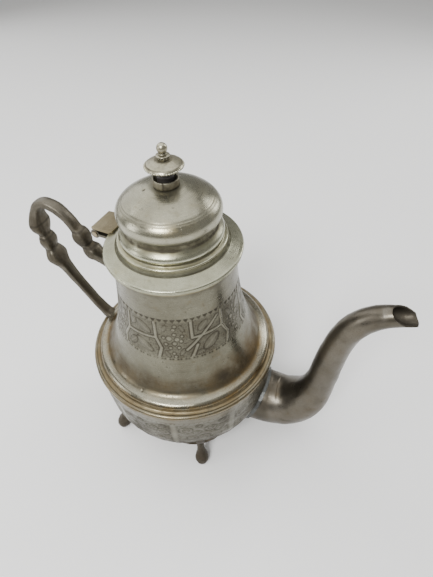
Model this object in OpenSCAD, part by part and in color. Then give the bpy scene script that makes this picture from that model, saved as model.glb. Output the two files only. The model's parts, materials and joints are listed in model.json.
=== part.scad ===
// Footed coffee pot in plated brass sheet: a deep bowl on four cast feet, a bell-shaped upper body,
// a goose-neck spout, a cast strap handle and a domed lid that swings back on a barrel hinge.
// The spout points along +X, the handle along -X, and the feet stand on z = 0.

/* [Body] */
// Thickness of the brass sheet
sheet = 1.5; // [1.2:0.1:1.8]
// Outer radius of the rolled rim round the bowl
rim_r = 70; // [69.5:0.1:70.5]
// Height of the middle of the rolled rim above the table
rim_z = 84; // [83.5:0.1:84.5]
// Largest radius of the bowl wall
bowl_r = 69; // [68.6:0.1:69.1]
// Clearance between the table and the bottom of the bowl
bowl_clearance = 10; // [9:0.5:11]
// How square the bowl's outline is, 2 being an ellipse
bowl_power = 3.8; // [3.5:0.1:4]
// Radius of the edge of the upper body, inside the rolled rim
bell_edge_r = 65.1; // [64.8:0.1:65.2]
// Outer radius of the neck at the mouth
neck_r = 39.6; // [39.4:0.1:39.8]
// Height of the mouth above the table
mouth_z = 177.9; // [177.7:0.1:177.9]

/* [Spout] */
// Distance from the pot's axis to the tip of the lip
spout_reach = 148.5; // [147:0.5:149.5]
// Wall thickness of the spout tube
spout_wall = 1.3; // [1:0.1:1.5]
// Radius of each strainer hole behind the spout
strainer_hole_r = 1.6; // [1.2:0.1:2]

/* [Handle] */
// Distance from the pot's axis to the outside of the handle
handle_reach = 106.5; // [104:0.5:109]
// Half the width of the handle strap where it is plain
strap_half_w = 4.4; // [4:0.1:4.8]

/* [Feet] */
// Distance from the pot's axis to the middle of a front foot's pad
foot_r = 65; // [64:0.5:66]
// How much further out the rear feet stand
rear_splay = 2; // [0:0.5:2.5]
// Angle between the spout and the front feet
front_foot_angle = 61; // [58:64]
// Angle between the spout and the rear feet
rear_foot_angle = 133; // [130:136]

/* [Hinge] */
// Distance from the pot's axis to the hinge pin
pin_x = 53.5; // [53.2:0.1:54]
// Angle by which the hinge is turned off the handle's plane
hinge_turn = 6; // [0:8]
// Height of the hinge pin above the table
pin_z = 175.4; // [175.2:0.1:175.6]
// Radius of the hinge pin
pin_r = 1.2; // [1:0.1:1.4]
// Radius of the hinge barrel
barrel_r = 3.2; // [3:0.1:3.2]
// Half the width of the hinge
hinge_half_w = 9.6; // [8.5:0.1:10]
// Half the width of the lid's knuckle
knuckle_half_w = 4; // [3.4:0.1:4.6]

/* [Lid] */
// Radius of the lid's flange
flange_r = 43.4; // [43.2:0.1:43.6]
// Outer radius of the locating ring inside the neck
bezel_r = 37.4; // [37:0.1:37.5]
// Radius of the threaded stud that holds the finial
stud_r = 1.5; // [1.3:0.1:1.6]
// Radius of the finial's cap
cap_r = 10.9; // [10.5:0.1:11.2]

/* [Hidden] */

$fn = 72;
// Gap between two pieces that are soldered or screwed face to face
seam = 0.04;
// Running clearance of the hinge pin in the lid's knuckle
running_fit = 0.05;
// Clearance between the turning and the fixed parts of the hinge
hinge_gap = 0.35;
// Place of the pot's axis, so that the origin is midway between the spout's tip and the handle
axis_x = (handle_reach - spout_reach) / 2;
// Height of the widest level that the bowl's curve is drawn from, and the depth below it
bowl_level = rim_z + 5;
bowl_depth = bowl_level - bowl_clearance;
// Rolled rim of the bowl
rim_bead_r = 1.9;
rim_bead_x = rim_r - rim_bead_r;
// Number of steps along the bowl's curve
bowl_steps = 18;
// Colours of the metals
plate_grey = [0.62, 0.61, 0.56];
warm_grey = [0.58, 0.54, 0.47];
dark_patina = [0.36, 0.33, 0.29];
solder_blue = [0.45, 0.47, 0.48];

// Point on a Catmull-Rom curve between p1 and p2
function curve_point(p0, p1, p2, p3, t) =
    0.5 * (2 * p1 + (p2 - p0) * t
    + (2 * p0 - 5 * p1 + 4 * p2 - p3) * t * t
    + (3 * p1 - p0 - 3 * p2 + p3) * t * t * t);

// Smooth curve through the points p, with n steps between neighbours
function smooth(p, n) = concat(
    [for (i = [0 : len(p) - 2], k = [0 : n - 1])
        curve_point(p[max(i - 1, 0)], p[i], p[i + 1], p[min(i + 2, len(p) - 1)], k / n)],
    [p[len(p) - 1]]);

// Arc about c from angle a to angle b in n steps
function arc(c, r, a, b, n) = [for (k = [0 : n])
    let (t = a + (b - a) * k / n) c + r * [cos(t), sin(t)]];

// Direction of the path at point i, in the X-Z plane
function heading(p, i) =
    let (d = p[min(i + 1, len(p) - 1)] - p[max(i - 1, 0)]) [d[0], d[1]] / norm([d[0], d[1]]);

// Curve moved sideways by d, to the right of its direction
function beside(p, d) = [for (i = [0 : len(p) - 1])
    let (t = heading(p, i)) [p[i][0] + d * t[1], p[i][1] - d * t[0]]];

// Reversed list
function reverse(p) = [for (i = [len(p) - 1 : -1 : 0]) p[i]];

// The bowl's outline from the rim down to its lowest point, moved outwards by grow
function bowl_curve(grow) = [for (k = [0 : bowl_steps])
    let (a = 18 + (90 - 18) * k / bowl_steps)
    [(bowl_r + grow) * pow(cos(a), 2 / bowl_power),
     bowl_level - (bowl_depth + grow) * pow(sin(a), 2 / bowl_power)]];

// Outer outline of the upper body: mouth, neck, concave shoulder, convex edge and skirt
bell_points = [[neck_r, mouth_z], [neck_r, 163], [41, 146], [43.2, 132], [46.4, 118.4], [50.8, 104.5],
    [55.2, 95.6], [58.6, 92], [61.8, 90.7], [64.2, 89], [bell_edge_r, 86.4]];
bell_curve = smooth(bell_points, 3);
skirt_z = 80;

// Outline of a foot, radius and height along its own sloping axis
foot_curve = smooth([[2.2, -0.8], [4.5, 1.4], [5.3, 5], [4.9, 8.6], [3.4, 13], [2.7, 18], [3.2, 24],
    [4.8, 30]], 3);
foot_slope = 16;

// Spout centre line: distance from the pot's axis, height and outer radius
spout_path = smooth([[50, 34, 21.5], [62, 32.5, 21.5], [74, 32, 21], [84, 34, 20], [92, 39, 18.6],
    [98.5, 47, 16.5], [103.2, 57.5, 13.8], [106, 71.5, 11.2], [107.8, 88, 10.3], [109, 107, 9.7],
    [112, 127, 8.9], [117.3, 142.5, 8.4], [126, 153, 7.6], [137, 159, 6.6],
    [spout_reach - 0.5, 161.8, 6]], 2);
// Outline of the metal that is cut away to leave the scoop of the mouth, and the tilt of the cut
mouth_cut = [[131.2, 185], [131.2, 168.5], [129.4, 166.3], [142, 159.2], [spout_reach, 157.3],
    [spout_reach + 12, 156.5], [spout_reach + 12, 185]];
mouth_tilt = 18;
mouth_axis_z = 160;

// Handle centre line: distance from the pot's axis, height, half thickness and half width as a share
// of the strap's. The swellings are the cast knuckles and the leaf on the outer limb
drawn_reach = 106.5;
handle_path = smooth([[34, 138, 3.2, 1.05], [46, 144.5, 3.2, 1.05], [56, 151, 3.3, 1.1],
    [62.5, 155.5, 4.8, 1.4], [66, 160, 3.8, 1.1], [69, 167.5, 4.7, 1.35], [72.5, 174, 3.2, 1],
    [76, 181, 2.9, 0.95],
    [82.5, 187, 3, 1], [90, 189.5, 3, 1], [96.5, 187.2, 3, 1.05], [99.8, 182, 3.2, 1.2],
    [102, 171.5, 4.4, 1.8], [101.2, 162.5, 3.5, 1.25], [100, 156.5, 4.4, 1.45], [99.8, 150.5, 3.8, 1.3],
    [97.5, 143, 5, 1.75], [93, 134, 3.2, 1.1], [87.3, 122.5, 2.8, 0.95], [80.7, 110.5, 2.7, 0.9],
    [75.3, 101, 2.8, 0.9], [69.5, 92.5, 3, 0.95], [63, 87, 3.4, 1.1]], 2);

module on_axis() {
    translate([axis_x, 0, 0]) children();
}

// Solid swept along a path in the X-Z plane. Each ring is an oval with half axes in and across
// the plane, taken from the path's columns 2 and 3
module sweep(path, sides) {
    rings = [for (i = [0 : len(path) - 1], k = [0 : sides - 1])
        let (t = heading(path, i), a = 360 * (k + 0.5) / sides, u = path[i][2] * cos(a))
        [path[i][0] - u * t[1], path[i][3] * sin(a), path[i][1] + u * t[0]]];
    last = (len(path) - 1) * sides;
    sides_faces = [for (i = [0 : len(path) - 2], k = [0 : sides - 1])
        [i * sides + k, i * sides + (k + 1) % sides, (i + 1) * sides + (k + 1) % sides, (i + 1) * sides + k]];
    start_face = [[for (k = [sides - 1 : -1 : 0]) k]];
    end_face = [[for (k = [0 : sides - 1]) last + k]];
    polyhedron(points = rings, faces = concat(start_face, sides_faces, end_face), convexity = 6);
}

// Everything inside the bowl's outer surface, moved outwards by grow
module bowl_core(grow) {
    rotate_extrude() polygon(concat([[0, rim_z]], [[bowl_r + grow, rim_z]], bowl_curve(grow)));
}

// Everything inside the upper body's outer surface, moved outwards by grow
module bell_core(grow) {
    outline = beside(bell_curve, -grow);
    rotate_extrude() polygon(concat([[0, mouth_z]], outline, [[bell_edge_r + grow, skirt_z], [0, skirt_z]]));
}

// Rows of strainer holes, drilled along X behind the spout
module strainer_holes() {
    pitch = 6;
    for (row = [-2 : 2], col = [-2 : 2]) {
        y = (col + (abs(row) % 2) / 2) * pitch;
        z = row * pitch * 0.87;
        if (norm([y, z]) < 2.2 * pitch)
            translate([bowl_r / 2, y, 36 + z]) rotate([0, 90, 0])
                cylinder(r = strainer_hole_r, h = bowl_r / 2 + 5, $fn = 24);
    }
}

module bowl() {
    outer = bowl_curve(0);
    inner = bowl_curve(-sheet);
    bead = arc([rim_bead_x, rim_z], rim_bead_r, -60, 240, 15);
    color(plate_grey) on_axis() difference() {
        rotate_extrude() polygon(concat(reverse(inner), reverse(bead), outer));
        strainer_holes();
    }
}

module bell_body() {
    inner = beside(bell_curve, sheet);
    color(plate_grey) on_axis() rotate_extrude() polygon(concat(
        [[neck_r, mouth_z]], bell_curve, [[bell_edge_r, skirt_z], [bell_edge_r - sheet, skirt_z]],
        reverse([for (p = inner) if (p[0] < bell_edge_r - sheet && p[1] < mouth_z) p]),
        [[neck_r - sheet, mouth_z]]));
}

// Solder between the edge of the upper body and the bowl's rim
module seam_solder() {
    bead_inner = rim_bead_x - rim_bead_r - seam;
    color(solder_blue) on_axis() rotate_extrude()
        polygon([[bell_edge_r + seam, skirt_z + 0.5], [bead_inner, skirt_z + 0.5], [bead_inner, rim_z],
            [bell_edge_r + seam, rim_z + 0.6]]);
}

// Flat band that stiffens the mouth and carries the hinge bracket
mouth_ring_r = 41.2;
mouth_ring_h = 4;
module mouth_ring() {
    color(warm_grey) on_axis() translate([0, 0, mouth_z - mouth_ring_h]) difference() {
        cylinder(r = mouth_ring_r, h = mouth_ring_h);
        translate([0, 0, -1]) cylinder(r = neck_r + seam, h = mouth_ring_h + 2);
    }
}

module spout() {
    outer = [for (p = spout_path) [p[0], p[1], p[2], p[2]]];
    bore = [for (p = spout_path) [p[0], p[1], p[2] - spout_wall, p[2] - spout_wall]];
    color(warm_grey) on_axis() difference() {
        sweep(outer, 20);
        sweep(concat([bore[0] - [6, -1, 0, 0]], bore, [bore[len(bore) - 1] + [6, 1, 0, 0]]), 20);
        translate([0, 0, mouth_axis_z]) rotate([mouth_tilt, 0, 0]) translate([0, 0, -mouth_axis_z])
            rotate([90, 0, 0]) linear_extrude(40, center = true) polygon(mouth_cut);
        bowl_core(seam);
    }
}

// Fillet of solder round the root of the spout
module spout_solder() {
    root = [for (i = [0 : 4]) spout_path[i]];
    skin = [for (p = root) [p[0], p[1], p[2] + 2.2, p[2] + 2.2]];
    hole = [for (p = root) [p[0], p[1], p[2] + 2 * seam, p[2] + 2 * seam]];
    color(solder_blue) on_axis() difference() {
        intersection() {
            sweep(skin, 20);
            bowl_core(2.4);
        }
        sweep(concat([hole[0] - [6, -1, 0, 0]], hole, [hole[4] + [6, 0, 0, 0]]), 20);
        bowl_core(seam);
    }
}

module handle() {
    strap = [for (p = handle_path) [-p[0] * handle_reach / drawn_reach, p[1], p[2], p[3] * strap_half_w]];
    color(dark_patina) on_axis() difference() {
        sweep(strap, 12);
        bell_core(seam);
        translate([0, 0, rim_z]) rotate_extrude() translate([rim_bead_x, 0])
            circle(r = rim_bead_r + seam, $fn = 24);
        cylinder(r = rim_bead_x, h = rim_z + 1);
    }
}

// Wing-shaped plate that spreads a foot's load over the bowl, drawn in the Y-Z plane
module foot_wings() {
    translate([0, 31]) circle(r = 6.5, $fn = 32);
    for (side = [-1, 1]) {
        translate([side * 9, 34]) circle(r = 4, $fn = 24);
        translate([side * 6, 29]) circle(r = 4, $fn = 24);
    }
}

module foot(angle, splay = 0) {
    plate_t = 2;
    color(dark_patina) on_axis() rotate([0, 0, angle]) difference() {
        union() {
            translate([foot_r + splay, 0, 0]) rotate([0, -foot_slope, 0]) rotate_extrude($fn = 32)
                polygon(concat([[0, -0.8]], foot_curve, [[0, 30]]));
            intersection() {
                bowl_core(plate_t);
                rotate([90, 0, 90]) linear_extrude(rim_r) foot_wings();
            }
        }
        bowl_core(seam);
        translate([0, 0, -10]) cylinder(r = 2 * foot_r, h = 10);
    }
}

// Frame of the hinge, which looks away from the pot's axis at the pin
module on_hinge() {
    on_axis() rotate([0, 0, -hinge_turn]) children();
}

// Cylinder along Y, centred at the hinge pin
module along_pin(r, half_w) {
    translate([-pin_x, 0, pin_z]) rotate([90, 0, 0]) cylinder(r = r, h = 2 * half_w, center = true, $fn = 48);
}

// Block centred on y = 0, given by its lowest and highest x and z
module block(x0, x1, z0, z1, half_w) {
    translate([x0, -half_w, z0]) cube([x1 - x0, 2 * half_w, z1 - z0]);
}

// Fixed leaf of the hinge, soldered to the band under the mouth
module hinge_bracket() {
    shelf_t = 2;
    shelf_z = mouth_z - mouth_ring_h;
    color(dark_patina) on_hinge() difference() {
        union() {
            along_pin(barrel_r, hinge_half_w);
            block(-pin_x, -mouth_ring_r + 3, shelf_z, shelf_z + shelf_t, hinge_half_w);
        }
        along_pin(barrel_r + 0.5, knuckle_half_w + hinge_gap);
        along_pin(pin_r + seam / 2, hinge_half_w + 1);
        cylinder(r = mouth_ring_r + seam, h = mouth_z);
    }
}

module hinge_pin() {
    head_t = 0.6;
    color(warm_grey) on_hinge() union() {
        along_pin(pin_r, hinge_half_w + seam + head_t);
        for (side = [-1, 1]) translate([0, side * (hinge_half_w + seam + head_t / 2), 0])
            along_pin(pin_r + 0.6, head_t / 2);
    }
}

// Upper surface of the lid's flange, from its edge to the top of the waist
flange_top = concat(
    arc([flange_r - 1.2, 178.3], 1.2, 0, 70, 4),
    [[35.2, 182.2], [34.5, 181.9], [34, 182.6], [33.8, 185]],
    arc([32.8, 185.4], 0.9, 0, 80, 3),
    [[31.5, 187], [31, 187.3], [31.1, 188]],
    smooth([[31.3, 188.4], [31.7, 190], [31, 191.9], [29.3, 193.8], [28.1, 196], [27.8, 199.2]], 3));
flange_under = [[26.4, 199.2], [26.7, 195.4], [28.4, 192.4], [30.1, 190.4], [29.6, 186.3], [32.2, 184.8],
    [33, 180.7], [41.5, 178.2], [41.9, 176.2], [flange_r - 0.4, 176.2]];

module lid_flange() {
    color(plate_grey) on_axis() rotate_extrude() polygon(concat(flange_top, flange_under));
}

// Ring under the flange that drops inside the neck
module lid_bezel() {
    wall = 1.4;
    color(warm_grey) on_axis() rotate_extrude() polygon([[bezel_r - wall, 171.5], [bezel_r, 171.5],
        [bezel_r, 179.3], [bezel_r - wall, 179.6]]);
}

// Outer outline of the dome, from its turned-in lower edge to the flat for the boss
dome_points = [[26.6, 199.3], [29, 199.5], [30.4, 201.4], [30.8, 204], [30.1, 207.3], [27.8, 210.4],
    [23.8, 213.4], [18.4, 216.3], [12.8, 218.2], [8.6, 219.1]];
dome_top_z = 219.2;
dome_wall = 1.2;
module lid_dome() {
    outer = smooth(dome_points, 3);
    inner = [for (p = beside(outer, -dome_wall)) if (p[1] > 200.6 && p[1] < dome_top_z - dome_wall) p];
    color(plate_grey) on_axis() difference() {
        rotate_extrude() polygon(concat([[stud_r + seam, dome_top_z - dome_wall]], reverse(inner),
            [[27.9, 200.5], [26.6, 200.5]], outer, [[8, dome_top_z], [stud_r + seam, dome_top_z]]));
        // Steam vent beside the boss
        rotate([0, 0, -145]) translate([12.5, 0, dome_top_z - 8]) cylinder(r = 0.7, h = 10, $fn = 24);
    }
}

// Turning leaf of the hinge: a plate on the flange that curls down round the pin
leaf_t = 1.6;
leaf_end = 38.5;
leaf_rise = 1.5;
module lid_leaf() {
    leaf_z = pin_z + barrel_r + hinge_gap;
    outer_x = -pin_x - 1.6;
    rim_points = [for (p = flange_top) if (p[1] < 182.3 && p[0] > 35) p + [seam, seam]];
    color(plate_grey) on_hinge() difference() {
        union() {
            rotate([90, 0, 0]) linear_extrude(2 * hinge_half_w, center = true)
                polygon([[outer_x, leaf_z], [-leaf_end, leaf_z], [-leaf_end, leaf_z + leaf_t + leaf_rise],
                    [outer_x, leaf_z + leaf_t]]);
            along_pin(barrel_r, knuckle_half_w);
            block(outer_x, -pin_x + 1.6, pin_z + 2, leaf_z + 1, knuckle_half_w);
        }
        along_pin(pin_r + running_fit, knuckle_half_w + 1);
        rotate_extrude() polygon(concat([[0, 170], [flange_r + seam, 170]], rim_points, [[0, 182.2 + seam]]));
    }
}

// Small cup that the finial stands in
module lid_boss() {
    z = dome_top_z + seam;
    color(plate_grey) on_axis() rotate_extrude($fn = 48) polygon([[stud_r + seam, z], [7.6, z],
        [7.5, z + 1], [7.2, z + 1.8], [7.3, z + 4.6], [6.2, z + 4.6], [5.9, z + 1.9], [5.6, z + 1.4],
        [stud_r + seam, z + 1.4]]);
}

// Levels of the finial's stack
spacer_z = dome_top_z + 2 * seam + 1.4;
spacer_h = 9.3;
cap_z = spacer_z + spacer_h + seam;
cap_h = 4.2;
bead_ring_z = cap_z + cap_h + seam;
bead_ring_h = 2.6;
ball_z = bead_ring_z + bead_ring_h + seam;
ball_r = 2.9;
ball_rise = 3.2;

// Ring or disc threaded on the stud
module on_stud(z, outline) {
    on_axis() translate([0, 0, z]) rotate_extrude($fn = 48)
        polygon(concat([[stud_r + seam, 0]], outline, [[stud_r + seam, outline[len(outline) - 1][1]]]));
}

module finial_stud() {
    below = 6.5;
    color(warm_grey) on_axis() translate([0, 0, dome_top_z - below])
        cylinder(r = stud_r, h = ball_z + 1.2 - dome_top_z + below, $fn = 32);
}

module finial_washer() {
    color(warm_grey) on_stud(dome_top_z - dome_wall - 0.8 - seam, [[5.5, 0], [5.5, 0.8]]);
}

module finial_nut() {
    nut_h = 2.6;
    nut_z = dome_top_z - dome_wall - 0.8 - 2 * seam - nut_h;
    color(warm_grey) on_axis() translate([0, 0, nut_z]) difference() {
        cylinder(r = 3.6, h = nut_h, $fn = 6);
        translate([0, 0, -1]) cylinder(r = stud_r + seam, h = nut_h + 2, $fn = 32);
    }
}

module finial_spacer() {
    color([0.1, 0.09, 0.09]) on_stud(spacer_z, [[4.9, 0], [5.2, spacer_h]]);
}

module finial_cap() {
    color(plate_grey) on_stud(cap_z, concat([[cap_r - 1, 0], [cap_r, 0.5]],
        smooth([[cap_r, 1], [9.4, 2.2], [7, 3.3], [4.6, cap_h]], 2)));
}

module finial_bead_ring() {
    color(plate_grey) on_stud(bead_ring_z, [[3, 0], [3.2, 0.6], [3.9, 1], [4.5, 2.1], [3.7, 2.5],
        [2.6, bead_ring_h]]);
}

module finial_ball() {
    neck_r = 1.9;
    color(plate_grey) on_axis() translate([0, 0, ball_z]) difference() {
        union() {
            translate([0, 0, ball_rise]) sphere(r = ball_r, $fn = 48);
            cylinder(r = neck_r, h = ball_rise, $fn = 32);
        }
        translate([0, 0, -1]) cylinder(r = stud_r + seam, h = 2.4, $fn = 32);
    }
}

bowl();
bell_body();
seam_solder();
mouth_ring();
spout();
spout_solder();
handle();
foot(front_foot_angle);  // foot_front_left
foot(-front_foot_angle);  // foot_front_right
foot(rear_foot_angle, rear_splay);  // foot_rear_left
foot(-rear_foot_angle, rear_splay);  // foot_rear_right
hinge_bracket();
hinge_pin();
lid_flange();
lid_bezel();
lid_dome();
lid_leaf();
lid_boss();
finial_stud();
finial_washer();
finial_nut();
finial_spacer();
finial_cap();
finial_bead_ring();
finial_ball();
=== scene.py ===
import json
import math
import bpy
from mathutils import Matrix, Vector, noise


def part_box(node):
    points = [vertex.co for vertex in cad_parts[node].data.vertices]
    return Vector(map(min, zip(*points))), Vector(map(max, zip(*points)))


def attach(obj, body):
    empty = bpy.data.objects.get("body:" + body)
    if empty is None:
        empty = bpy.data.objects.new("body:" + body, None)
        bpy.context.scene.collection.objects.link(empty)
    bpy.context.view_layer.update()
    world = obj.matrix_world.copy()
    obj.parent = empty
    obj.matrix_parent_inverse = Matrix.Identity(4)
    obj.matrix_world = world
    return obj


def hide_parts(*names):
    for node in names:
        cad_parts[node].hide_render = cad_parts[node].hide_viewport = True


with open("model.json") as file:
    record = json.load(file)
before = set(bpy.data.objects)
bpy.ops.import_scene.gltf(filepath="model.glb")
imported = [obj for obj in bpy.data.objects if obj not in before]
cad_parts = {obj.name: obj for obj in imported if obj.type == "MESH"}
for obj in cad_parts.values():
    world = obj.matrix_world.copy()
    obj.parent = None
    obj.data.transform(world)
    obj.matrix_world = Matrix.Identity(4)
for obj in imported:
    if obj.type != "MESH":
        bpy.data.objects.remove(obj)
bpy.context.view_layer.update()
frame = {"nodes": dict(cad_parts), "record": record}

# ---- Camera ----
# The pot is looked down on from the right of its spout. The camera stands about 0.2 m out from the
# pot's axis and a third of a metre above the table, and is held almost level.
mm = 0.001
ring_low, ring_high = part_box("mouth_ring")
axis_x = (ring_low.x + ring_high.x) / 2
camera_data = bpy.data.cameras.new("camera")
camera_data.sensor_fit = "AUTO"
camera_data.sensor_width = 36
camera_data.lens = 24.96
camera = bpy.data.objects.new("camera", camera_data)
bpy.context.scene.collection.objects.link(camera)
bpy.context.scene.camera = camera
turn = math.radians(28)
aim = math.radians(20.45)
pitch = math.radians(45.9)
roll = math.radians(-1.76)
stand_off = 0.1943
eye_height = 0.3355
forward = Vector((-math.sin(aim) * math.cos(pitch), math.cos(aim) * math.cos(pitch), -math.sin(pitch)))
level_right = Vector((math.cos(aim), math.sin(aim), 0))
level_up = level_right.cross(forward)
right = math.cos(roll) * level_right + math.sin(roll) * level_up
up = math.cos(roll) * level_up - math.sin(roll) * level_right
eye = Vector((axis_x + stand_off * math.sin(turn), -stand_off * math.cos(turn), eye_height))
camera.matrix_world = Matrix.Translation(eye) @ Matrix((right, up, -forward)).transposed().to_4x4()

# ---- Table and studio light ----
# A plain pale table top, a wide soft box overhead and four more at the left, the front left, the
# front and behind, in a pale room. They draw the soft bands that a satin plate shows.
bpy.ops.object.select_all(action="DESELECT")
bpy.ops.mesh.primitive_plane_add(size=6)
floor = bpy.context.object
floor.name = "table_top"
floor_paint = bpy.data.materials.new("pale_table")
floor_paint.use_nodes = True
floor_paint.node_tree.nodes["Principled BSDF"].inputs["Base Color"].default_value = (0.93, 0.93, 0.92, 1)
floor_paint.node_tree.nodes["Principled BSDF"].inputs["Roughness"].default_value = 0.9
floor.data.materials.append(floor_paint)

world = bpy.data.worlds.new("pale_room")
bpy.context.scene.world = world
world.use_nodes = True
world.node_tree.nodes["Background"].inputs["Color"].default_value = (0.84, 0.83, 0.81, 1)
world.node_tree.nodes["Background"].inputs["Strength"].default_value = 0.38


def soft_box(name, place, target, width, height, power):
    data = bpy.data.lights.new(name, "AREA")
    data.shape = "RECTANGLE"
    data.size = width
    data.size_y = height
    data.energy = power
    lamp = bpy.data.objects.new(name, data)
    lamp.location = place
    lamp.rotation_euler = (Vector(target) - Vector(place)).to_track_quat("-Z", "Y").to_euler()
    bpy.context.scene.collection.objects.link(lamp)


soft_box("overhead_box", (-0.15, 0.1, 1.2), (-0.02, 0, 0.1), 1.7, 1.5, 14)
soft_box("left_box", (-1.2, 0.45, 0.75), (-0.02, 0, 0.1), 1.2, 1.1, 7)
soft_box("front_left_box", (-0.9, -0.6, 0.45), (-0.02, 0, 0.1), 0.35, 0.6, 3)
soft_box("front_box", (-0.06, -0.8, 0.97), (-0.02, 0, 0.15), 0.45, 0.32, 13)
soft_box("rear_box", (0.6, 0.9, 0.6), (0, 0, 0.12), 0.4, 0.6, 4)

# ---- Bowl ----
# The deep lower bowl is raised from one brass sheet, its lip rolled outwards over a wire, plated
# pale and then chased all round with panels of scrollwork between plain upright bars.


def smooth_line(points, steps):
    """Curve through the points, with a number of steps between neighbours"""
    line = []
    for i in range(len(points) - 1):
        p0 = points[max(i - 1, 0)]
        p1 = points[i]
        p2 = points[i + 1]
        p3 = points[min(i + 2, len(points) - 1)]
        for k in range(steps):
            t = k / steps
            line.append(tuple(0.5 * (2 * b + (c - a) * t + (2 * a - 5 * b + 4 * c - d) * t * t
                                     + (3 * b - a - 3 * c + d) * t ** 3)
                              for a, b, c, d in zip(p0, p1, p2, p3)))
    line.append(tuple(points[-1]))
    return line


def arc_line(x, z, radius, start, end, steps):
    """Arc about (x, z) from one angle to another, in degrees"""
    angles = [math.radians(start + (end - start) * k / steps) for k in range(steps + 1)]
    return [(x + radius * math.cos(a), z + radius * math.sin(a)) for a in angles]


def spaced(line, gap):
    """The same line with points no further apart than gap"""
    fine = [line[0]]
    for a, b in zip(line, line[1:]):
        pieces = max(1, math.ceil(math.dist(a, b) / gap))
        fine += [tuple(p + (q - p) * k / pieces for p, q in zip(a, b)) for k in range(1, pieces + 1)]
    return fine


def turned(name, outline, steps, centre=None):
    """A piece turned on the lathe: a closed outline in mm, radius and height, spun about the axis"""
    middle = Vector((axis_x, 0, 0)) if centre is None else Vector(centre)
    bpy.ops.object.select_all(action="DESELECT")
    bpy.ops.mesh.primitive_plane_add(size=mm, enter_editmode=True)
    bpy.ops.mesh.merge(type="CENTER")
    here = Vector((0, 0, 0))
    for radius, height in outline + [outline[0]]:
        there = middle + Vector((radius, 0, height)) * mm
        if here.length == 0:
            bpy.ops.transform.translate(value=there)
        else:
            bpy.ops.mesh.extrude_vertices_move(TRANSFORM_OT_translate={"value": there - here})
        here = there
    bpy.ops.mesh.select_all(action="SELECT")
    bpy.ops.mesh.spin(steps=steps, angle=2 * math.pi, center=middle, axis=(0, 0, 1))
    bpy.ops.mesh.select_all(action="SELECT")
    bpy.ops.mesh.remove_doubles(threshold=0.002 * mm)
    bpy.ops.mesh.normals_make_consistent(inside=False)
    bpy.ops.object.mode_set(mode="OBJECT")
    piece = bpy.context.object
    piece.name = name
    piece.data.name = name
    return piece


def worked(piece, work):
    """Sculpt and stain a piece: work gives each point its lift in mm, grime and painted shade,
    warmth, and wear and painted highlight
    """
    mesh = piece.data
    layers = [mesh.attributes.new(word, "FLOAT", "POINT") for word in ("grime_and_shade", "warmth", "wear_and_sheen")]
    normals = [v.normal.copy() for v in mesh.vertices]
    for vertex, normal in zip(mesh.vertices, normals):
        spot = Vector((vertex.co.x - axis_x, vertex.co.y, vertex.co.z)) / mm
        lift, *stains = work(spot, normal)
        vertex.co += normal * lift * mm
        for layer, stain in zip(layers, stains):
            layer.data[vertex.index].value = stain


def fitted(piece, body, nodes, metal, crease=35):
    """Finish a piece: its shading, its metal, the body it rides on and the node that it stands for"""
    bpy.ops.object.select_all(action="DESELECT")
    piece.select_set(True)
    bpy.context.view_layer.objects.active = piece
    bpy.ops.object.shade_smooth_by_angle(angle=math.radians(crease))
    piece.data.materials.clear()
    piece.data.materials.append(metal)
    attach(piece, body)
    if nodes:
        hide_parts(*nodes)


def add(tree, kind, inputs, out=0, **settings):
    """Add a shader node. Inputs are values or other nodes' outputs, by socket"""
    node = tree.nodes.new(kind)
    for key, value in settings.items():
        setattr(node, key, value)
    for key, value in inputs.items():
        if isinstance(value, bpy.types.NodeSocket):
            tree.links.new(value, node.inputs[key])
        else:
            node.inputs[key].default_value = value
    return node.outputs[out]


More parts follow.
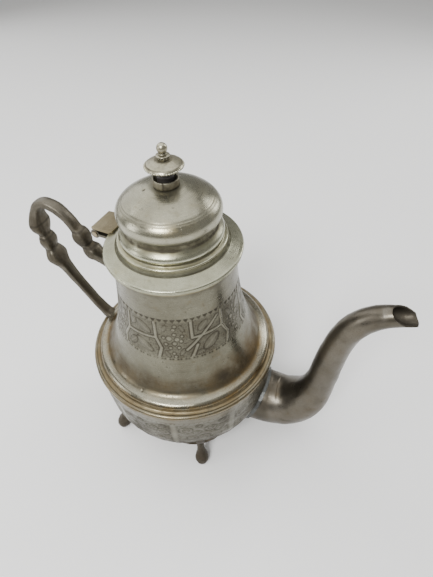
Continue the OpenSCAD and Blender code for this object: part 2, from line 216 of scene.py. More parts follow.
def aged_metal(name, plate, shade, warm, rough, metallic=0.92, turning=0.3, pitting=0.5,
               patches=0.35, dents=0.3):
    """Satin plate on brass: clouds of shade, warm patches where the brass shows, turning lines,
    pits, grime and painted shade where their attribute says, and bright rubbed metal and painted
    highlights where theirs says"""
    metal = bpy.data.materials.new(name)
    metal.use_nodes = True
    tree = metal.node_tree
    shader = tree.nodes["Principled BSDF"]

    def sound(scale, detail, source, roughness=0.55):
        return add(tree, "ShaderNodeTexNoise",
                   {"Vector": source, "Scale": scale, "Detail": detail, "Roughness": roughness})

    def window(value, low, high, top=1.0):
        return add(tree, "ShaderNodeMapRange",
                   {"Value": value, "From Min": low, "From Max": high, "To Min": 0.0, "To Max": top},
                   interpolation_type="SMOOTHSTEP")

    def sum_of(a, b, operation="ADD", clamp=False):
        return add(tree, "ShaderNodeMath", {0: a, 1: b}, operation=operation, use_clamp=clamp)

    def tone(amount, a, b, way="MIX"):
        return add(tree, "ShaderNodeMixRGB", {"Fac": amount, "Color1": a, "Color2": b}, blend_type=way)

    place = add(tree, "ShaderNodeTexCoord", {}, out=3)
    grime_and_shade = add(tree, "ShaderNodeAttribute", {}, out=2, attribute_name="grime_and_shade")
    warmth = add(tree, "ShaderNodeAttribute", {}, out=2, attribute_name="warmth")
    wear_and_sheen = add(tree, "ShaderNodeAttribute", {}, out=2, attribute_name="wear_and_sheen")
    # distance from the pot's axis and height, for lines left by the lathe
    centred = add(tree, "ShaderNodeMapping", {"Vector": place, "Location": (-axis_x, 0, 0)})
    apart = tree.nodes.new("ShaderNodeSeparateXYZ")
    tree.links.new(centred, apart.inputs[0])
    flat = add(tree, "ShaderNodeCombineXYZ", {0: apart.outputs[0], 1: apart.outputs[1]})
    radius = add(tree, "ShaderNodeVectorMath", {0: flat}, out=1, operation="LENGTH")
    profile = add(tree, "ShaderNodeCombineXYZ", {0: radius, 1: apart.outputs[2]})
    lathe = sound(1500, 3, profile)
    cloud = sound(38, 6, place, 0.62)
    blotch = sound(95, 7, place, 0.68)
    speck = sound(1300, 3, place, 0.6)
    pit = window(sound(420, 2, place), 0.68, 0.76)
    stain = window(sound(190, 5, place, 0.7), 0.56, 0.72)

    colour = tone(window(cloud, 0.36, 0.66), (*plate, 1), (*shade, 1))
    patch = sum_of(window(blotch, 0.52, 0.74, patches),
                   sum_of(warmth, window(blotch, 0.25, 0.6), "MULTIPLY"))
    colour = tone(sum_of(patch, 0.9, "MULTIPLY", True), colour, (*warm, 1))
    colour = tone(sum_of(stain, 0.22, "MULTIPLY"), colour, (*[c * 0.45 for c in warm], 1))
    colour = tone(window(lathe, 0.35, 0.7, 0.35 * turning), colour, (*[c * 0.6 for c in shade], 1))
    colour = tone(window(speck, 0.4, 0.75, 0.30), colour, (*[c * 0.62 for c in shade], 1))
    # rubbed metal and painted highlights brighten the plate here
    rubbed_and_sheen = sum_of(wear_and_sheen, window(speck, 0.2, 0.6), "MULTIPLY", True)
    colour = tone(rubbed_and_sheen, colour, (*[min(1, c * 1.35 + 0.05) for c in plate], 1))
    # grime and painted shade darken the colour here alike
    dirt_and_shade = sum_of(sum_of(grime_and_shade, window(blotch, 0.1, 0.62, 1.15), "MULTIPLY"),
                  sum_of(pit, pitting, "MULTIPLY"), clamp=True)
    colour = tone(sum_of(dirt_and_shade, 0.9, "MULTIPLY"), colour, (0.055, 0.048, 0.036, 1))
    tree.links.new(colour, shader.inputs["Base Color"])

    gloss = sum_of(window(blotch, 0.3, 0.75, 0.16), sum_of(window(lathe, 0.3, 0.7, 0.08), rough - 0.10))
    gloss = sum_of(gloss, sum_of(dirt_and_shade, 0.3, "MULTIPLY"))
    gloss = sum_of(gloss, sum_of(rubbed_and_sheen, 0.08, "MULTIPLY"), "SUBTRACT", True)
    tree.links.new(gloss, shader.inputs["Roughness"])
    shader.inputs["Metallic"].default_value = metallic

    relief = sum_of(sum_of(lathe, turning * 0.5, "MULTIPLY"), sum_of(speck, 0.22, "MULTIPLY"))
    relief = sum_of(relief, sum_of(pit, -1.2 * pitting, "MULTIPLY"))
    relief = sum_of(relief, sum_of(blotch, dents, "MULTIPLY"))
    bump = add(tree, "ShaderNodeBump", {"Height": relief, "Strength": 0.4, "Distance": 0.00022})
    tree.links.new(bump, shader.inputs["Normal"])
    return metal


def mottle(spot, scale):
    return max(0.0, noise.noise(spot * scale))


def near(value, centre, width):
    """1 at the centre, falling smoothly to 0 at the width"""
    return max(0.0, 1 - ((value - centre) / width) ** 2) ** 2


def wrapped(angle, middle, step):
    """Angle from the nearest of a ring of places, one every step degrees"""
    return (angle - middle + step / 2) % step - step / 2


bowl_low, bowl_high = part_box("bowl")
rim_radius = bowl_high.y / mm
rim_bead = 1.9
rim_level = bowl_high.z / mm - rim_bead
bowl_bottom = bowl_low.z / mm
bowl_wide = rim_radius - 1
bowl_level = rim_level + 5
bowl_power = 3.8
sheet = 1.5


def bowl_radius(height, grow=0.0):
    """Outer radius of the bowl's wall at a height"""
    drop = min(1.0, max(0.0, (bowl_level - height) / (bowl_level - bowl_bottom + grow)))
    return (bowl_wide + grow) * (1 - drop ** bowl_power) ** (1 / bowl_power)


def bowl_wall(grow, start, steps):
    angles = [math.radians(start + (90 - start) * k / steps) for k in range(steps + 1)]
    return [((bowl_wide + grow) * math.cos(a) ** (2 / bowl_power) if k < steps else 0.0,
             bowl_level - (bowl_level - bowl_bottom + grow) * math.sin(a) ** (2 / bowl_power))
            for k, a in enumerate(angles)]


# Panels of the bowl, in degrees, the lines that bound them, and the rosettes in one of them: place
# along the panel, height and radius
bowl_panel = 36
bowl_bar_angle = -40
scribed_line = 77.3
panel_top = 76.6
panel_foot = 24
bar_half = 2.0
border_pitch = 3.4
bowl_motifs = [(-13, 64, 5.2), (-5, 60, 3.2), (5, 63, 4.6), (13, 59, 5.4), (-9, 50, 4.2),
               (0, 49, 5.0), (10, 47, 3.8), (-14, 40, 4.0), (-3, 38, 4.4), (8, 36, 4.8),
               (14, 70, 2.6), (-3, 70, 2.4)]


def bowl_chasing(spot, normal):
    radius = math.hypot(spot.x, spot.y)
    faces_in = normal.x * spot.x + normal.y * spot.y < -0.05 * radius
    if radius < 1 or faces_in or spot.z < 12.5 and normal.z > 0:
        return 0, 0.35, 0.3, 0
    angle = math.degrees(math.atan2(spot.y, spot.x))
    z = spot.z
    lift = 0.22 * noise.noise(spot * 0.05)
    grime_and_shade = 0.0
    warmth = 0.25 * near(z, rim_level - 4, 6) + 0.4 * near(z, bowl_bottom + 6, 14)
    wear_and_sheen = 0.2 * near(z, rim_level + 1.2, 2.6)
    if z > rim_level - rim_bead - 0.4:
        warmth += 0.6 + 1.2 * near(z, rim_level - rim_bead + 0.3, 1.9)
        grime_and_shade += 0.35 * near(z, rim_level - rim_bead - 0.2, 0.7) + 0.4 * mottle(spot, 0.35)
        return lift * 0.3, grime_and_shade, warmth, wear_and_sheen
    underside = near(z, 26, 32) * (0.2 + 0.8 * abs(noise.noise(spot * 0.11)))
    grime_and_shade += 0.12 + 0.5 * mottle(spot, 0.07) + underside
    grime_and_shade += 0.7 * near(z, scribed_line, 0.6) + 0.5 * near(z, rim_level - rim_bead - 0.6, 0.8)
    lift -= 0.12 * near(z, scribed_line, 0.6)
    along = math.radians(wrapped(angle, bowl_bar_angle + bowl_panel / 2, bowl_panel)) * bowl_wide
    half = math.radians(bowl_panel / 2) * bowl_wide
    edge = half - abs(along)
    if z < panel_top and z > panel_foot:
        dot = math.hypot((along + 100) % border_pitch - border_pitch / 2, z - 75.2)
        grime_and_shade += 0.9 * near(dot, 0, 0.9)
        if edge < bar_half:
            grime_and_shade += 0.75 * near(edge, bar_half, 0.5)
            lift += 0.10
            wear_and_sheen += 0.08
        elif z < 73.6:
            grain = noise.noise(Vector((along * 1.5, z * 1.5, angle // bowl_panel)))
            fine = noise.noise(Vector((along * 3.6, z * 3.6, angle // bowl_panel)))
            grime_and_shade += 0.24 + 0.55 * max(0.0, grain) + 0.4 * max(0.0, fine)
            lift -= 0.08 + 0.06 * max(0.0, grain)
            for mx, mz, size in bowl_motifs:
                away = math.hypot(along - mx, z - mz)
                if away < size + 0.8:
                    ring = near(away, size, 0.75)
                    petal = near(away, size * 0.45, 0.55)
                    grime_and_shade += 0.7 * ring + 0.5 * petal
                    lift += 0.16 * near(away, 0, size) - 0.12 * ring
                    break
            dot = math.hypot((z + 50) % border_pitch - border_pitch / 2, edge - 3.2)
            grime_and_shade += 0.8 * near(dot, 0, 0.85)
    return lift, min(grime_and_shade, 1.0), warmth, wear_and_sheen


rolled_rim = arc_line(rim_radius - rim_bead, rim_level, rim_bead, 236, -52, 22)
bowl_outside = [(r, z) for r, z in bowl_wall(0, 18, 150) if z < rim_level - rim_bead + 0.2]
bowl_inside = [(r, z) for r, z in reversed(bowl_wall(-sheet, 18, 26)) if z < rim_level - 0.6]
bowl = turned("bowl_shell", spaced(rolled_rim + bowl_outside, 0.95) + bowl_inside, 540)
worked(bowl, bowl_chasing)
shell_plate = aged_metal("shell_plate", (0.19, 0.182, 0.136), (0.13, 0.121, 0.088),
                         (0.18, 0.115, 0.038), 0.28, turning=0.4, pitting=0.45, patches=0.25)
fitted(bowl, "pot", ["bowl"], shell_plate)

# ---- Upper body ----
# The bell-shaped upper body is spun from sheet: a plain neck, a broad chased band of strapwork, a
# hollow shoulder and a rounded edge that drops inside the bowl's rolled rim, where it is soldered.
bell_low, bell_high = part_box("bell_body")
bell_edge = bell_high.y / mm
mouth_level = bell_high.z / mm
neck_radius = ring_high.y / mm - 1.6
bell_outline = smooth_line(
    [(neck_radius, mouth_level), (neck_radius, 163), (41, 146), (43.2, 132), (46.4, 118.4),
     (50.8, 104.5), (54.8, 96.0), (57.4, 92.9), (60.2, 91.6), (62.9, 90.5), (64.6, 88.6),
     (bell_edge, 86.2)], 6)


def bell_radius(height):
    """Outer radius of the upper body at a height"""
    for (r1, z1), (r2, z2) in zip(bell_outline, bell_outline[1:]):
        if z1 >= height >= z2 and z1 > z2:
            return r1 + (r2 - r1) * (z1 - height) / (z1 - z2)
    return neck_radius if height > 150 else bell_edge


band_top = 152.6
band_foot = 118.6
band_middle = 135.5
band_radius = 44.0
band_angle = -72
band_repeat = 120
half_repeat = math.radians(band_repeat / 2) * band_radius
strap_half = 0.85
tooth_pitch = 4.4
dot_pitch = 5.0
# Strapwork of one repeat: ends of the straps' centre lines, along the band and up from its middle
straps = [((-34, -0.5), (-12, 1)), ((-12, 1), (-12.6, 14)), ((-12, 1), (-8.5, -7)),
          ((-8.5, -7), (-10.5, -15.5)), ((12, 0.5), (12, 14)), ((12, 0.5), (34, 1.5)),
          ((8, -8.5), (31, 11.5)), ((15, -6), (10.5, -15.5)), ((34, 1.5), (34.5, 14)),
          ((34, 1.5), (38, -7)), ((38, -7), (35.5, -15.5)), ((-34, -0.5), (-34, 14)),
          ((-34, -0.5), (-37.5, -8.5)), ((-37.5, -8.5), (-36, -15.5))]
# Leaves: middle, half length, half width and tilt in degrees
leaves = [(-21, 7.5, 6.5, 3.0, -35), (-20.5, -7.5, 7.0, 3.0, -32), (20, 8.5, 4.6, 2.7, 48),
          (24.5, -6.8, 7.0, 3.6, 38), (-29, 8.5, 3.8, 2.2, 60), (-29.5, -8.5, 4.2, 2.6, 50),
          (17, -12.2, 3.4, 1.8, 20), (40.5, 7, 4.0, 2.4, -60), (-41, 7, 4.2, 2.4, 55),
          (5.5, 9.5, 3.0, 1.5, -65), (-6, 9.5, 3.0, 1.5, 65), (5, -10, 3.2, 1.5, 60),
          (-4.6, -11.5, 3.0, 1.4, -60)]
# Small rings in pairs and in a knot, on each medallion
rings = [(0, 8.6, 1.5), (1.2, 11.4, 1.5), (-3.2, 1.4, 2.1), (2.0, 0.6, 1.9), (0.2, -2.8, 1.7),
         (4.6, -1.0, 1.5), (-0.6, -11.0, 1.3), (0.4, -13.5, 1.3), (-5.4, -3.4, 1.4),
         (-6.8, 1.8, 1.3), (0.4, 4.6, 1.5), (5.4, 3.0, 1.3), (-2.6, -6.4, 1.4), (2.8, -6.2, 1.3)]


def to_strap(x, y, ends):
    (x1, y1), (x2, y2) = ends
    t = ((x - x1) * (x2 - x1) + (y - y1) * (y2 - y1)) / ((x2 - x1) ** 2 + (y2 - y1) ** 2)
    t = min(1.0, max(0.0, t))
    return math.hypot(x - x1 - t * (x2 - x1), y - y1 - t * (y2 - y1))


def strapwork(angle, z):
    """Lift in mm and grime of the chased band"""
    x = math.radians(wrapped(angle, band_angle, band_repeat)) * band_radius
    y = z - band_middle
    if z > band_top - 3.0:
        tooth = abs((x + 200) % tooth_pitch - tooth_pitch / 2)
        dark = 1.0 if tooth < 2.0 - (band_top - z) * 0.62 else 0.1
        return -0.14 * dark, dark * near(z, band_top - 1.3, 3.2)
    if z < band_foot + 2.4:
        dot = math.hypot(abs((x + 200) % dot_pitch - dot_pitch / 2) - 0.9, z - band_foot - 1.2)
        dark = near(dot, 0, 1.25)
        return -0.14 * dark, dark
    away = min(to_strap(x, y, ends) for ends in straps)
    if away < strap_half:
        return 0.16 - 0.05 * (away / strap_half) ** 2, 0.0
    line = near(away, strap_half + 0.55, 0.8)
    if line > 0.25:
        return -0.16 * line, 1.1 * line
    knot_x = x if abs(x) < half_repeat / 2 else abs(x) - half_repeat
    for rx, ry, size in rings:
        away = math.hypot(knot_x - rx, y - ry)
        if away < size + 0.5:
            edge = near(away, size, 0.65)
            return 0.06 - 0.16 * edge, 1.1 * edge
    for lx, ly, length, width, tilt in leaves:
        c = math.cos(math.radians(tilt))
        s = math.sin(math.radians(tilt))
        u = ((x - lx) * c + (y - ly) * s) / length
        v = ((y - ly) * c - (x - lx) * s) / width
        inside = u * u + v * v
        if inside < 1.25:
            rib = near(v, 0, 0.22)
            hatch = 0.5 + 0.5 * math.sin(9 * u * length + 4 * abs(v) * width)
            edge = near(inside, 1.05, 0.3)
            dark = 0.22 + 0.7 * edge + 0.5 * hatch * (1 - rib)
            return 0.10 * (1 - inside) + 0.05 * rib - 0.10 * edge, dark
    grain = noise.noise(Vector((x * 1.1, y * 1.1, 3)))
    fine = noise.noise(Vector((x * 2.3, y * 2.3, 9)))
    return -0.10 - 0.08 * fine, 0.25 + 0.9 * max(0.0, grain) + 0.8 * max(0.0, fine)


def bell_chasing(spot, normal):
    radius = math.hypot(spot.x, spot.y)
    faces_in = normal.x * spot.x + normal.y * spot.y < -0.05 * radius
    if faces_in and spot.z > 93 or radius < bell_radius(spot.z) - 1.0:
        return 0, 0.3, 0.35, 0
    angle = math.degrees(math.atan2(spot.y, spot.x))
    z = spot.z
    lift = 0.28 * noise.noise(spot * 0.045) * near(z, 118, 58)
    # painted shadow: a darker band round the neck just under the lid's flange
    grime_and_shade = 0.35 * near(z, mouth_level - 6, 3.5)
    warmth = 0.45 * near(z, 97, 10)
    wear_and_sheen = 0.75 * near(radius, 61.5, 3.8)
    if z < 112:
        # painted reflection: the hollow shoulder is darkened all round, with cloudy variation, standing
        # in for the dark surroundings it mirrors
        cloudy = 0.75 + 0.8 * noise.noise(spot * 0.06)
        grime_and_shade += 0.62 * near(radius, 54.0, 6.5) * cloudy
        grime_and_shade += 0.35 * near(wrapped(angle, -14, 360), 0, 34) * near(radius, 57, 9)
        warmth += 1.0 * near(wrapped(angle, -14, 360), 0, 46) * near(radius, 57, 11)
        warmth += 0.75 * near(wrapped(angle, -160, 360), 0, 45) * near(radius, 57, 9)
        warmth += 0.9 * near(radius, 64.3, 1.3)
    pit = math.hypot(math.radians(wrapped(angle, -97, 360)) * 58, radius - 58.6)
    if z < 100 and pit < 1.5:
        grime_and_shade += 1.2 * near(pit, 0, 1.5)
        lift -= 0.4 * near(pit, 0, 1.5)
    if band_foot < z < band_top:
        cut, dark = strapwork(angle, z)
        lift += cut
        grime_and_shade += dark
        wear_and_sheen += 0.35 * max(0.0, cut * 5)
    return lift, min(grime_and_shade, 1.0), warmth, wear_and_sheen


bell_drop = [(bell_edge, bell_low.z / mm), (bell_edge - sheet, bell_low.z / mm)]
bell_inside = [(r - sheet * 0.9, z - sheet * (0.75 if z < 95 else 0.25))
               for r, z in reversed(bell_outline[::3]) if z < mouth_level - 4 and r < bell_edge - 1.2]
bell_inside.append((neck_radius - sheet, mouth_level))
outside = []
for start, end in zip(bell_outline, bell_outline[1:]):
    gap = 0.42 if band_foot - 1 < (start[1] + end[1]) / 2 < band_top + 1 else 1.3
    outside += spaced([start, end], gap)[:-1]
bell = turned("bell_shell", outside + [bell_outline[-1]] + bell_drop + bell_inside, 640)
worked(bell, bell_chasing)
fitted(bell, "pot", ["bell_body"], shell_plate)

# ---- Seam solder and mouth ring ----
# Brazing fills the groove between the two halves of the body, and grey soft solder the root of the
# spout. A flat brass band is soldered round the mouth to stiffen it.
soft_solder = aged_metal("soft_solder", (0.13, 0.135, 0.13), (0.08, 0.083, 0.08),
                         (0.14, 0.115, 0.07), 0.42, metallic=0.8, turning=0.0, pitting=0.6,
                         patches=0.6, dents=0.9)
bare_brass = aged_metal("bare_brass", (0.25, 0.215, 0.135), (0.17, 0.14, 0.08),
                        (0.22, 0.145, 0.05), 0.34, pitting=0.3)


def carried(names, metal):
    """Give CAD nodes that keep their own shape a metal"""
    for name in names:
        node = frame["nodes"][name]
        node.data.materials.clear()
        node.data.materials.append(metal)


carried(["spout_solder"], soft_solder)
carried(["mouth_ring", "lid_bezel"], bare_brass)
seam_low, seam_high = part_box("seam_solder")
seam_foot = seam_low.z / mm
bead_top = rim_level + rim_bead
seam = turned("seam_fillet", [(bell_edge - 0.9, seam_foot), (seam_high.y / mm, seam_foot),
                              (seam_high.y / mm, rim_level + 0.3), (rim_radius - 2.7, bead_top - 0.3)]
              + smooth_line([(rim_radius - 2.7, bead_top - 0.05), (bell_edge + 1.1, bead_top + 0.15),
                             (bell_edge + 0.3, bead_top + 0.7), (bell_edge - 0.2, bead_top + 1.7)], 4)
              + [(bell_edge - 0.9, bead_top + 1.2)], 240)


def seam_marks(spot, normal):
    return 0.1 * noise.noise(spot * 0.4), 0.3 + 0.5 * mottle(spot, 0.3), 0.6, 0.15


worked(seam, seam_marks)
fitted(seam, "pot", ["seam_solder"], bare_brass, crease=60)

# ---- Spout ----
# The spout is a seamed tube of sheet, wide at the root, bent to a goose neck and cut open at the top
# into a scoop with a thin lip. Its plate has dulled to a grey brown and shows the mallet's marks.


def swept(name, path, section):
    """A tube along a path in the X-Z plane. Path points are x, z, half thickness in the plane and
    half width across it, in mm. The section gives each unit ring point its place"""
    def facing(i):
        a = path[max(i - 1, 0)]
        b = path[min(i + 1, len(path) - 1)]
        return -math.atan2(b[0] - a[0], b[1] - a[1])

    bpy.ops.object.select_all(action="DESELECT")
    bpy.ops.mesh.primitive_circle_add(vertices=len(section), radius=1)
    piece = bpy.context.object
    for vertex, (u, v) in zip(piece.data.vertices, section):
        vertex.co = Vector((u, v, 0))
    bpy.ops.object.mode_set(mode="EDIT")
    bpy.ops.mesh.select_all(action="SELECT")
    x, z, thick, wide = path[0]
    here = Vector((axis_x + x * mm, 0, z * mm))
    bpy.ops.transform.resize(value=(thick * mm, wide * mm, 1), center_override=(0, 0, 0))
    bpy.ops.transform.rotate(value=facing(0), orient_axis="Y", center_override=(0, 0, 0))
    bpy.ops.transform.translate(value=here)
    for i in range(1, len(path)):
        x, z, new_thick, new_wide = path[i]
        there = Vector((axis_x + x * mm, 0, z * mm))
        bpy.ops.mesh.extrude_edges_move(TRANSFORM_OT_translate={"value": there - here})
        bpy.ops.transform.rotate(value=-facing(i - 1), orient_axis="Y", center_override=there)
        bpy.ops.transform.resize(value=(new_thick / thick, new_wide / wide, 1), center_override=there)
        bpy.ops.transform.rotate(value=facing(i), orient_axis="Y", center_override=there)
        here, thick, wide = there, new_thick, new_wide
    bpy.ops.object.mode_set(mode="OBJECT")
    piece.name = name
    piece.data.name = name
    return piece


def let_in(piece, radius_at, depth):
    """Push points that would lie inside a round wall out to just below its surface"""
    for vertex in piece.data.vertices:
        x = (vertex.co.x - axis_x) / mm
        y = vertex.co.y / mm
        wall = radius_at(vertex.co.z / mm) - depth
        if math.hypot(x, y) < wall and wall > abs(y):
            vertex.co.x = axis_x + math.copysign(math.sqrt(wall * wall - y * y), x) * mm


spout_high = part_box("spout")[1]
tip = (spout_high.x - axis_x) / mm
spout_points = [(58, 33, 21.5), (66, 32.2, 21.4), (74, 32, 21), (84, 34, 20), (92, 39, 18.6),
                (98.5, 47, 16.5), (103.2, 57.5, 13.8), (106, 71.5, 11.2), (107.8, 88, 10.3),
                (109, 107, 9.7), (112, 127, 8.9), (117.3, 142.5, 8.4), (126, 153, 7.6),
                (137, 159, 6.6), (tip - 1.6, 161.8, 6)]
spout_path = smooth_line([(x, z, r, r) for x, z, r in spout_points], 6)
round_section = [(math.cos(2 * math.pi * k / 72), math.sin(2 * math.pi * k / 72)) for k in range(72)]
spout = swept("spout_tube", spout_path, round_section)
# Cut the scoop: score the tube along the planes of the cut, lower on one side, then take the waste away
cut_back = (131.0, 168.5)
cut_corner = (129.4, 166.3)
cut_bend = (142, 159.2)
cut_end = (tip + 0.5, 157.3)
pot_foot = Vector((axis_x, 0, 0))
cut_pivot = pot_foot + Vector((0, 0, 160 * mm))
cut_tilt = Matrix.Rotation(math.radians(18), 3, "X")
bpy.ops.object.mode_set(mode="EDIT")
bpy.ops.mesh.select_all(action="SELECT")
bpy.ops.mesh.normals_make_consistent(inside=False)
for start, end in ((cut_back, cut_corner), (cut_corner, cut_bend), (cut_bend, cut_end)):
    across = cut_tilt @ Vector((start[1] - end[1], 0, end[0] - start[0])).normalized()
    place = cut_pivot + cut_tilt @ (Vector((axis_x + start[0] * mm, 0, start[1] * mm)) - cut_pivot)
    bpy.ops.mesh.select_all(action="SELECT")
    bpy.ops.mesh.bisect(plane_co=place, plane_no=across)
bpy.ops.mesh.select_all(action="DESELECT")
bpy.ops.object.mode_set(mode="OBJECT")
scoop = [cut_corner, cut_bend, cut_end]
for face in spout.data.polygons:
    x, y, z = (cut_tilt.transposed() @ (face.center - cut_pivot) + cut_pivot - pot_foot) / mm
    back_slope = (cut_back[0] - cut_corner[0]) / (cut_back[1] - cut_corner[1])
    back = cut_corner[0] + (z - cut_corner[1]) * back_slope
    level = cut_corner[1]
    for (x1, z1), (x2, z2) in zip(scoop, scoop[1:]):
        if x > x1:
            level = z1 + (z2 - z1) * (x - x1) / (x2 - x1)
    face.select = x > back and z > level and x > 120
bpy.ops.object.mode_set(mode="EDIT")
bpy.ops.mesh.delete(type="FACE")
bpy.ops.mesh.select_all(action="SELECT")
bpy.ops.mesh.remove_doubles(threshold=0.01 * mm)
bpy.ops.object.mode_set(mode="OBJECT")
# Round the lip's end, which the shears left blunt
lip_length = 7
lip_half = 6.2
for vertex in spout.data.vertices:
    x = (vertex.co.x - axis_x) / mm
    if x > tip - lip_length:
        share = (x - tip + lip_length) / lip_length
        vertex.co.x -= 2.8 * mm * share * (vertex.co.y / mm / lip_half) ** 2
solder_sink = 0.7
let_in(spout, bowl_radius, solder_sink)


def spout_marks(spot, normal):
    lift = (0.30 * noise.noise(spot * 0.09) + 0.14 * noise.noise(spot * 0.22)) * (spot.x < tip - 9)
    # painted shade: the spout's down-facing surfaces are darkened
    underside_shade = max(0.0, -normal.z) * near(spot.z, 20, 60)
    grime_and_shade = 0.22 * underside_shade + 0.55 * near(spot.x, 69, 8) * near(spot.z, 36, 30)
    grime_and_shade += 0.5 * max(0.0, noise.noise(spot * 0.12 + Vector((5, 0, 0))) - 0.25)
    streak = near(spot.z, 36, 2.2) * near(spot.x, 90, 12) * max(0.0, -normal.y)
    grime_and_shade += 0.8 * streak * (0.5 + noise.noise(spot * 0.6))
    warmth = 0.35 * near(spot.z, 60, 34) * max(0.0, normal.x) + 0.15
    wear_and_sheen = 0.9 * near(spot.x, cut_corner[0], 2.5) * max(0.0, normal.z)
    # painted highlight: a bright spot on the front of the spout near its root
    wear_and_sheen += 0.6 * near(spot.x, 80, 9) * near(spot.y, -15, 9) * near(spot.z, 42, 14)
    return lift, min(1.0, max(0.0, grime_and_shade)), warmth, wear_and_sheen


worked(spout, spout_marks)
outer_points = len(spout.data.vertices)
thicken = spout.modifiers.new("wall", "SOLIDIFY")
thicken.thickness = 1.1 * mm
thicken.offset = -1
bpy.context.view_layer.objects.active = spout
bpy.ops.object.modifier_apply(modifier="wall")
for layer, stain in (("grime_and_shade", 1.0), ("warmth", 0.2), ("wear_and_sheen", 0.0)):
    for inside in spout.data.attributes[layer].data[outer_points:]:
        inside.value = stain
spout_plate = aged_metal("spout_plate", (0.125, 0.113, 0.091), (0.086, 0.077, 0.060),
                         (0.115, 0.084, 0.045), 0.34, metallic=0.88, turning=0.0, pitting=0.45,
                         patches=0.35, dents=0.6)
fitted(spout, "pot", ["spout"], spout_plate)

# ---- Handle ----
# The handle is one brass casting, a flat strap with a raised middle. It has two turned knuckles near
# the neck and a pair of leaf-shaped swellings on the outer limb, and is soldered to neck and rim.
handle_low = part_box("handle")[0]
reach = (axis_x - handle_low.x) / mm
stretch = reach / 106.5
strap_width = 4.4
handle_points = [(36, 139, 3.2, 1.05), (46, 144.5, 3.2, 1.05), (56, 151, 3.3, 1.1),
                 (59.5, 153.4, 4.0, 1.2), (62.5, 155.5, 4.9, 1.42), (65, 158, 4.6, 1.3),
                 (66.6, 160.6, 3.5, 1.02), (67.8, 163.6, 4.2, 1.25), (69, 167.3, 4.9, 1.42),
                 (70.6, 170.8, 4.3, 1.28), (72.0, 173.4, 3.0, 0.96), (76, 181, 2.9, 0.95),
                 (82.5, 187, 3, 1), (90, 189.5, 3, 1), (96.5, 187.2, 3, 1.05), (99.8, 182, 3.2, 1.2),
                 (101.6, 176, 4.0, 1.6), (102, 171.5, 4.5, 1.85), (101.6, 167, 4.2, 1.6),
                 (101.1, 163, 3.2, 1.12), (100.7, 160.3, 3.9, 1.35), (100.2, 156.8, 4.5, 1.5),
                 (99.9, 153.4, 3.9, 1.35), (99.7, 150.6, 3.4, 1.2), (98.8, 147, 4.5, 1.6),
                 (97.5, 143, 5.1, 1.8), (95.6, 138.8, 4.2, 1.45), (93, 134, 3.2, 1.1),
                 (87.3, 122.5, 2.8, 0.95), (80.7, 110.5, 2.7, 0.9), (75.3, 101, 2.8, 0.9),
                 (69.5, 92.5, 3, 0.95), (66.5, 89.2, 3.3, 1.05), (63, 87.2, 3.5, 1.15)]
handle_path = smooth_line([(-r * stretch, z, thick, share * strap_width)
                           for r, z, thick, share in handle_points], 5)


def strap_point(k, count):
    """Point of the strap's section: a rounded oblong with a raised middle on both faces"""
    a = 2 * math.pi * k / count
    c = math.cos(a)
    s = math.sin(a)
    size = (abs(c) ** 3.0 + abs(s) ** 3.0) ** (-1 / 3.0)
    groove = 0.06 * near(abs(s * size), 0.55, 0.16) if abs(c) > 0.45 else 0
    return c * size * (1 - groove), s * size


handle = swept("handle_casting", handle_path, [strap_point(k, 48) for k in range(48)])
bpy.ops.object.mode_set(mode="EDIT")
bpy.ops.mesh.select_all(action="DESELECT")
bpy.ops.mesh.select_non_manifold()
bpy.ops.mesh.edge_face_add()
bpy.ops.mesh.select_all(action="SELECT")
bpy.ops.mesh.normals_make_consistent(inside=False)
bpy.ops.object.mode_set(mode="OBJECT")
let_in(handle, lambda z: bell_radius(z) if z > 96 else 0, solder_sink)
# The lower end rests on the shoulder: points under the shoulder's surface come up to it
for vertex in handle.data.vertices:
    r = math.hypot(vertex.co.x - axis_x, vertex.co.y) / mm
    for (r1, z1), (r2, z2) in zip(bell_outline, bell_outline[1:]):
        surface = (z1 + z2) / 2 * mm - solder_sink * mm
        if r1 <= r <= r2 and r > 55 and vertex.co.z < surface and vertex.co.z < 100 * mm:
            vertex.co.z = surface


def handle_marks(spot, normal):
    lift = 0.20 * noise.noise(spot * 0.16) + 0.07 * noise.noise(spot * 0.5)
    flank = abs(normal.y)
    grime_and_shade = 0.25 + 0.5 * mottle(spot, 0.11) + 0.25 * flank
    wear_and_sheen = 0.75 * max(0.0, normal.z) * near(spot.z, 186, 22) + 0.5 * near(abs(spot.y), 4.6, 1.4)
    wear_and_sheen += 0.35 * mottle(spot, 0.3)
    for level in (160.6, 172.8, 163.3, 150.8):
        grime_and_shade += 0.5 * near(spot.z, level, 1.1)
    return lift, min(1.0, grime_and_shade), 0.3, min(1.0, wear_and_sheen)


worked(handle, handle_marks)
cast_patina = aged_metal("cast_patina", (0.115, 0.103, 0.077), (0.073, 0.065, 0.047),
                         (0.125, 0.092, 0.048), 0.38, metallic=0.85, turning=0.0, pitting=0.55,
                         patches=0.45, dents=0.9)
fitted(handle, "pot", ["handle"], cast_patina)

# ---- Feet ----
# Four cast feet, each a pear-shaped pad on a short leg that spreads into a lobed plate soldered to
# the underside of the bowl. The casting is coarse and dark.
foot_patina = aged_metal("foot_patina", (0.078, 0.066, 0.049), (0.045, 0.038, 0.028),
                         (0.09, 0.062, 0.033), 0.42, metallic=0.8, turning=0.0, pitting=0.8,
                         patches=0.5, dents=1.2)
foot_slope = math.radians(16)
foot_outline = [(0, -0.5)] + smooth_line(
    [(2.4, -0.4), (4.6, 1.4), (5.35, 5), (4.9, 8.6), (3.5, 13), (2.8, 18), (3.3, 24), (4.9, 30)], 5)
foot_outline.append((0, 31))
lobes = 5
plate_level = 31
plate_rings = 14


def foot_marks(spot, normal):
    lift = 0.30 * noise.noise(spot * 0.3) + 0.12 * noise.noise(spot * 0.9)
    grime_and_shade = 0.35 + 0.6 * mottle(spot, 0.45) + 0.3 * near(spot.z, 23, 5)
    wear_and_sheen = 0.35 * max(0.0, noise.noise(spot * 0.35 + spot))
    return (lift if spot.z > 1.2 else 0), min(1.0, grime_and_shade), 0.3, wear_and_sheen


